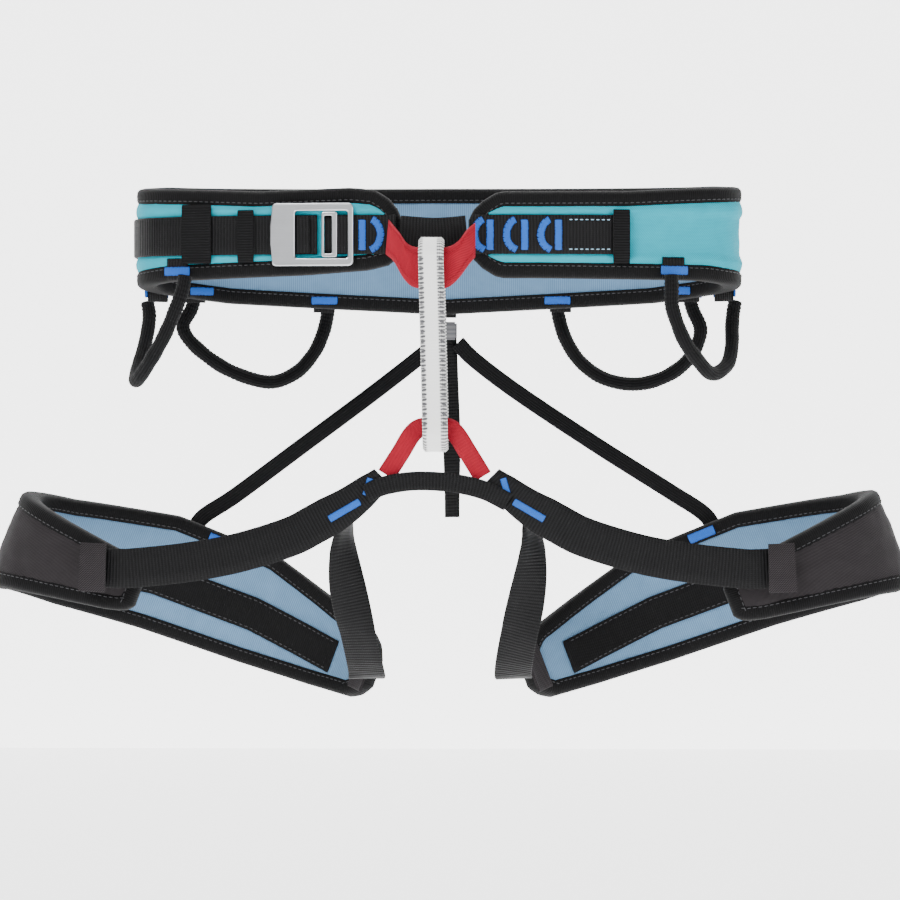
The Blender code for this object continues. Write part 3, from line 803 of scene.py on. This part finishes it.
# Belay loop: a band that leans a little to the side on its way down
BELAY_TOP_X = -1.5
BELAY_LOW_X = 1.2
LEAN_STEP = 0.0675
RUNGS = 36
loop = []
r = BELAY_INNER_R + BELAY_THICK / 2
z1 = BELAY_TOP + 6.2
z0 = BELAY_BOTTOM - 2.5
for i in range(17):
    g = math.pi * i / 16
    loop.append(Vector((BELAY_TOP_X, BELAY_Y - r * math.cos(g), z1 + r * math.sin(g))))
for i in range(1, 40):
    loop.append(Vector((BELAY_TOP_X + i * LEAN_STEP, BELAY_Y + r, z1 + (z0 - z1) * i / 40)))
for i in range(17):
    g = math.pi * i / 16
    loop.append(Vector((BELAY_LOW_X, BELAY_Y + r * math.cos(g), z0 - r * math.sin(g))))
for i in range(1, 40):
    loop.append(Vector((BELAY_LOW_X - i * LEAN_STEP, BELAY_Y - r, z0 + (z1 - z0) * i / 40)))
ribbon("belay_band", "belay", loop, lambda f, t: Vector((1, 0, 0)), 16.0, BELAY_THICK, WHITE,
       True, ("belay_loop",))
runs = []
for side in (-1, 1):
    for face in (-1, 1):
        for i in range(RUNGS):
            z = z1 + (z0 - z1) * (i + 0.5) / RUNGS
            shift = BELAY_TOP_X + (BELAY_LOW_X - BELAY_TOP_X) * (i + 0.5) / RUNGS
            y = BELAY_Y + face * (r + BELAY_THICK / 2 + 0.1)
            a = Vector((shift + side * 7.6, y, z))
            b = Vector((shift + side * 4.6, y, z + 0.5))
            runs.append((a, b, Vector((0, face, 0))))
GREY_THREAD = fabric("grey_thread", (0.05, 0.05, 0.055), (0.16, 0.16, 0.17), 0.6, "along", 0.5, 0.2)
threads("belay_rungs", "belay", runs, 0.7, GREY_THREAD)

# Lower tie-in strip
LOWER = [(-30, -85.2, -153), (-21, -84.8, -139), (-14, -84.3, -127.5), (-8, BELAY_Y, BELAY_BOTTOM),
         (0.5, BELAY_Y, BELAY_BOTTOM), (9, BELAY_Y, BELAY_BOTTOM), (14.5, -84.3, -127.5),
         (21.5, -84.8, -138.5), (31, -85.2, -154)]
ribbon("tie_in_lower", "legs", spline(LOWER, 60), facing, 12.0,
       3.0, RED, nodes=("lower_tie_in_strip",), ribs=0.05, pitch=4.0)


# Leg loops --------------------------------------------------------------------
def leg(side, tag):
    """One padded leg loop with its straps."""
    centre = (LEG_CENTRE[0] + side * LEG_SHIFT_X, LEG_CENTRE[1], LEG_CENTRE[2])
    move = 0.0 if side > 0 else RIGHT_STRAP_SHIFT
    shell = Shell(LEG_HALF_WIDTH, LEG_HALF_DEPTH, LEG_POWER, centre, LEG_TILT, side, 270.0, -360.0)
    s0 = shell.find(-36.0 if side > 0 else -18.0, True)
    s1 = shell.find(119.0, False)
    span = s1 - s0
    top_keys = [(0, 10), (3, 14), (8, 18), (16, 20), (60, 25), (110, 31), (160, 36), (230, 49),
                (300, 47), (340, 36), (371, 27), (382, 24), (390, 18), (395, 10)]
    bottom_keys = [(0, -8), (3, -11), (8, -13), (16, -15), (60, -22), (110, -30), (170, -30),
                   (230, -26), (300, -24), (350, -21), (384, -18), (390, -14), (395, -8)]

    def top(s):
        return profile(top_keys, (s - s0) * LEG_PROFILE_LENGTH / span)

    def bottom(s):
        return profile(bottom_keys, (s - s0) * LEG_PROFILE_LENGTH / span)

    def puff(s, v, a, b):
        f = (v - b) / max(a - b, 1.0)
        return 1.2 + 1.9 * math.sin(math.pi * f)

    pad("leg_cloth_" + tag, "legs", shell, s0, s1, top, bottom, 1, puff, CHARCOAL,
        ("leg_face_fabric_" + tag, "leg_foam_core_" + tag), seed=9.0 + side)
    pad("leg_lining_cloth_" + tag, "legs", shell, s0, s1, top, bottom, -1, lining_puff, LINING,
        ("leg_lining_" + tag,), seed=14.0 + side)
    binding("leg_edge_tape_" + tag, "legs", shell, s0, s1, top, bottom, "leg_binding_" + tag)

    line = [(-219, -86.0, -211), (-200, -90.2, -212), (-187, -91, -211.5), (-155, -90, -208),
            (-125, -88.4, -202.5), (-92, -88.2, -192.5), (-75, -88.2, -184), (-56, -88.2, -173),
            (-41, -88.2, -161.5), (-33, -88.2, -153.5)]
    pts = [Vector((p[0] * side + move, p[1], p[2])) for p in spline(line, 170)]
    ribbon("leg_web_" + tag, "legs", pts, facing, 25.0, 1.6, WEBBING,
           nodes=("leg_front_webbing_" + tag,), ribs=0.10, taper=WEB_TAPER)
    inner = [(-55, -74, -181), (-58, -73, -196), (-57, -70, -214), (-54, -65, -233),
             (-50, -58, -252), (-46.5, -47, -270), (-45, -35, -281), (-45.5, -26.5, -284)]
    pts = [Vector((p[0] * side + move, p[1], p[2])) for p in spline(inner, 70)]

    def twist(f, t):
        g = math.radians(78.0 - 96.0 * min(f * 1.7, 1.0))
        return Vector((math.cos(g), math.sin(g), 0.12))

    ribbon("leg_inner_web_" + tag, "legs", pts, twist, 24.0, 1.6, WEBBING,
           nodes=("leg_inner_strap_" + tag,), ribs=0.12)
    line = [(-224, -88.0, -211), (-215, -90.0, -211.5), (-207, -92.6, -211.7)]
    pts = [Vector((p[0] * side + move, p[1] - 1.6, p[2])) for p in spline(line, 14)]
    ribbon("leg_keeper_web_" + tag, "legs", pts, facing, 31.0, 1.3, CHARCOAL,
           nodes=("leg_keeper_" + tag,), ribs=0.06)

    def centre_line(s):
        return (top(s) + bottom(s)) / 2 - 4

    strip_on("leg_centre_tape_" + tag, "legs", shell, s0 + 190, s1 - 30, centre_line, 22.0, -8.4,
             -7.3, TAPE, "black_webbing", ("leg_centre_strip_" + tag,), 2.0, 0.05)
    for edge in (-9.0, 9.0):
        runs = []
        a = s0 + 194
        while a < s1 - 36:
            p = shell.at(a, centre_line(a) + edge, -8.6)
            q = shell.at(a + 2.4, centre_line(a + 2.4) + edge, -8.6)
            runs.append((p, q, (p - shell.at(a, centre_line(a) + edge, 0)).normalized()))
            a += 3.8
        threads("leg_tape_stitch_%s_%s" % (tag, "top" if edge > 0 else "low"), "legs", runs,
                STITCH_RADIUS, BLACK_THREAD)
    strip_on("leg_end_fabric_" + tag, "legs", shell, s1 - 8, s1 + 14, lambda s: 2.0, 30.0, -9.5,
             -7.7, CHARCOAL, "charcoal_fabric", ("leg_end_loop_" + tag,), 1.5, 0.08)
    mark = shell.find(-3.0 if side > 0 else -17.0, False)
    tack("riser_tack_" + tag, "legs", shell, [(mark - 9, top(mark - 9) - 3.5),
                                              (mark + 9, top(mark + 9) - 3.5)], 6.0,
         LINING_TACK_LEVEL)
    a = Vector((-47 * side + move, -89.4, -170))
    b = Vector((-66 * side + move, -89.4, -181))
    free_tack("leg_tack_slant_" + tag, "legs", a, b, 4.5)
    a = Vector((-40 * side + move, -89.4, -155.5))
    b = Vector((-43 * side + move, -89.4, -166))
    free_tack("leg_tack_end_" + tag, "legs", a, b, 4.0)


leg(1.0, "left")
leg(-1.0, "right")
BRIDGE_LOW = [(-43, -90.4, -165), (-32, -90.3, -160), (-15, -90.2, -157),
              (2, -90.2, -157), (18, -90.2, -159), (33, -90.3, -163), (47, -90.4, -170)]
ribbon("leg_bridge_web", "legs", spline(BRIDGE_LOW, 80), facing,
       12.0, 1.6, WEBBING, nodes=("leg_bridge_webbing",), ribs=0.1)

# Risers -------------------------------------------------------------------------
strip_on("riser_anchor_web", "waist", waist, sx(-6, False), sx(8, False), lambda s: -39.7, 19.5,
         8.6, 10.0, WEBBING, "black_webbing", ("riser_anchor_tab",), 1.1, 0.1)
RISER_L = [(-4, 69, -66), (-16, 67.5, -76), (-48, 63, -101), (-94, 56, -135.5), (-136, 49, -167),
           (-158, 42.0, -182), (-164, 40.5, -194)]
RISER_R = [(10, 69, -66), (22, 67.5, -78), (52, 63, -100.5), (104, 56, -135), (150, 49, -164),
           (174, 42.0, -180), (181, 40.5, -194)]


for tag, line in (("left", RISER_L), ("right", RISER_R)):
    ribbon("riser_elastic_" + tag, "risers", spline(line, 150), facing, 10.5, 2.0, ELASTIC,
           nodes=("riser_strap_" + tag,), ribs=0.14, pitch=2.6)
TAIL = [(3, 73, -58), (4, 72.6, -80), (5, 72, -105), (6, 71.5, -137), (6.3, 71, -182)]


def tail_turn(f, t):
    """The tail hangs flat at the top and turns a little towards its end."""
    g = 0.6 * f * math.sin(f * 5)
    return Vector((math.cos(g), math.sin(g), 0))


ribbon("riser_tail_web", "riser_tail", spline(TAIL, 110), tail_turn, 12.0, 1.8, WEBBING,
       nodes=("riser_tail",), ribs=0.12)


def hanger():
    """The small moulded ring that the risers hang from."""
    bm = bmesh.new()
    bmesh.ops.create_cube(bm, size=1.0)
    for v in bm.verts:
        v.co = Vector((3.0 + v.co.x * 13.0, 69.0 + v.co.y * 3.2, -58.0 + v.co.z * 12.0)) * MM
    bmesh.ops.bevel(bm, geom=list(bm.edges), offset=1.2 * MM, segments=4, affect="EDGES")
    verts = [v.co.copy() for v in bm.verts]
    faces = [tuple(v.index for v in f.verts) for f in bm.faces]
    marks = [tuple((verts[i].x * 1000, verts[i].z * 1000) for i in f) for f in faces]
    bm.free()
    finish_piece("riser_hanger_moulding", "risers", verts, faces, marks, PLASTIC,
                 ("riser_hanger",), 40)


hanger()

# Gear loops ----------------------------------------------------------------------
GEAR = {
    "rear_left": [(-163, 51.5, -35), (-166, 52, -44), (-171.5, 52, -56), (-163, 55, -69),
                  (-142, 60, -84), (-116, 64, -92), (-98, 67, -86), (-86, 69, -73),
                  (-80, 71, -60), (-77, 71, -48), (-76.5, 68.5, -39)],
    "rear_right": [(163, 51.5, -35), (166, 52, -45), (171, 52, -59), (164, 55, -76), (149, 60, -88),
                   (129, 64, -93.5), (108, 67, -90), (92, 69, -79), (82, 71, -64),
                   (77, 71, -48), (76.5, 68.5, -39)],
    "front_left": [(-160.5, -53.5, -26), (-162, -55, -35), (-166, -54, -46), (-175, -46, -65),
                   (-187, -32, -83), (-196, -12, -92), (-197, 8, -84), (-193.5, 23, -66),
                   (-191.8, 31, -50), (-193.2, 33.2, -40)],
    "front_right": [(150.5, -56.8, -26), (150.5, -58, -35), (151, -57, -47), (158, -51, -66),
                    (167, -39, -79), (177, -20, -88), (187, 0, -82), (190.5, 14, -70),
                    (191, 25.5, -57), (191.8, 31, -48), (193.2, 33.2, -40)],
}


def sleeve(name, path, node):
    """A knitted tube over a plastic core, ribbed where the knit gathers."""
    pts = spline(path, 200)
    rows = []
    ref = None
    run = 0.0
    n = len(pts)
    for i, p in enumerate(pts):
        if i:
            run += (p - pts[i - 1]).length
        t = (pts[min(i + 1, n - 1)] - pts[max(i - 1, 0)]).normalized()
        if ref is None:
            ref = t.orthogonal().normalized()
        ref = (ref - t * ref.dot(t)).normalized()
        b = t.cross(ref)
        rad = GEAR_RADIUS + 0.22 * math.cos(math.tau * run / 2.6)
        rad += 0.25 * noise.noise(Vector((run / 9.0, 1.0, 2.0)))
        rows.append([p + ref * (math.cos(math.tau * k / 14) * rad)
                     + b * (math.sin(math.tau * k / 14) * rad) for k in range(14)])
    skin(name + "_sleeve", name, rows, KNIT, False, (node,), 60)


for key, path in GEAR.items():
    sleeve("gear_loop_" + key, path, "gear_loop_" + key)


def gear_tab(key, x, front, low, high):
    """A webbing tab that a gear loop is sewn to, with its tack."""
    s = sx(x, front)
    half = GEAR_TAB_WIDTH / 2
    strip_on("gear_web_" + key, "waist", waist, s - half, s + half,
             lambda q: (low + high) / 2, high - low, 6.6, 8.0, WEBBING, "black_webbing",
             ("gear_tab_" + key,), 1.1, 0.1)
    v = low + 5.5
    tack("gear_tack_" + key, "waist", waist, [(s - half - 1.5, v), (s + half + 1.5, v)], 5.5, 8.5)


for row in (("rear_left_a", -160, False, -40, -15), ("rear_left_b", -77, False, -46, -15),
            ("rear_right_a", 160, False, -40, -15), ("rear_right_b", 77, False, -46, -15),
            ("front_left_a", -163, True, -28, -14), ("front_left_b", -181, False, -40, -15),
            ("front_right_a", 149, True, -28, -14), ("front_right_b", 181, False, -40, -15)):
    gear_tab(*row)

# The rear loops are tacked through to the inner side
for i, x in enumerate((-160, -77, 77, 160)):
    s = sx(x, False)
    v = waist_bottom(s) + 3.6
    tack("gear_tack_inner_%d" % i, "waist", waist, [(s - 8.5, v), (s + 8.5, v)], 5.0,
         LINING_TACK_LEVEL)

# Studio --------------------------------------------------------------------------
def glowing_paper(name, colour, rough, glow):
    m = bpy.data.materials.new(name)
    m.use_nodes = True
    b = m.node_tree.nodes["Principled BSDF"]
    b.inputs["Base Color"].default_value = (*colour, 1.0)
    b.inputs["Roughness"].default_value = rough
    b.inputs["Emission Color"].default_value = (1.0, 1.0, 1.0, 1.0)
    b.inputs["Emission Strength"].default_value = glow
    return m


def sheet(name, look, size, place, turn=0.0):
    """A big plain sheet of the room, lying flat or stood up by its turn about X."""
    bpy.ops.mesh.primitive_plane_add(size=size, location=place, rotation=(turn, 0, 0))
    ob = bpy.context.object
    ob.name = name
    ob.data.materials.append(look)


sheet("floor", glowing_paper("floor_paper", (0.92, 0.92, 0.92), 0.9, 1.6), 30.0, (0, 0, -0.72))


def lamp(name, place, aim, size, power):
    data = bpy.data.lights.new(name, "AREA")
    data.shape = "RECTANGLE"
    data.size = size
    data.size_y = size * 0.7
    data.energy = power
    ob = bpy.data.objects.new(name, data)
    bpy.context.scene.collection.objects.link(ob)
    ob.location = place
    ob.rotation_euler = (Vector(aim) - Vector(place)).to_track_quat("-Z", "Y").to_euler()


lamp("key_light", (-0.9, -1.7, 1.5), (0, 0, -0.1), 1.1, 62.0)
lamp("fill_light", (1.7, -1.5, 0.3), (0, 0, -0.15), 1.4, 20.0)
lamp("top_light", (0.0, 0.5, 1.8), (0, 0, -0.1), 1.2, 40.0)
sheet("backdrop", glowing_paper("backdrop_paper", (0.9, 0.9, 0.9), 0.5, 2.6), 24.0, (0, 6.0, 0),
      math.pi / 2)
world = bpy.data.worlds.new("studio")
bpy.context.scene.world = world
world.use_nodes = True
world.node_tree.nodes["Background"].inputs["Color"].default_value = (1.0, 1.0, 1.0, 1.0)
world.node_tree.nodes["Background"].inputs["Strength"].default_value = 0.5
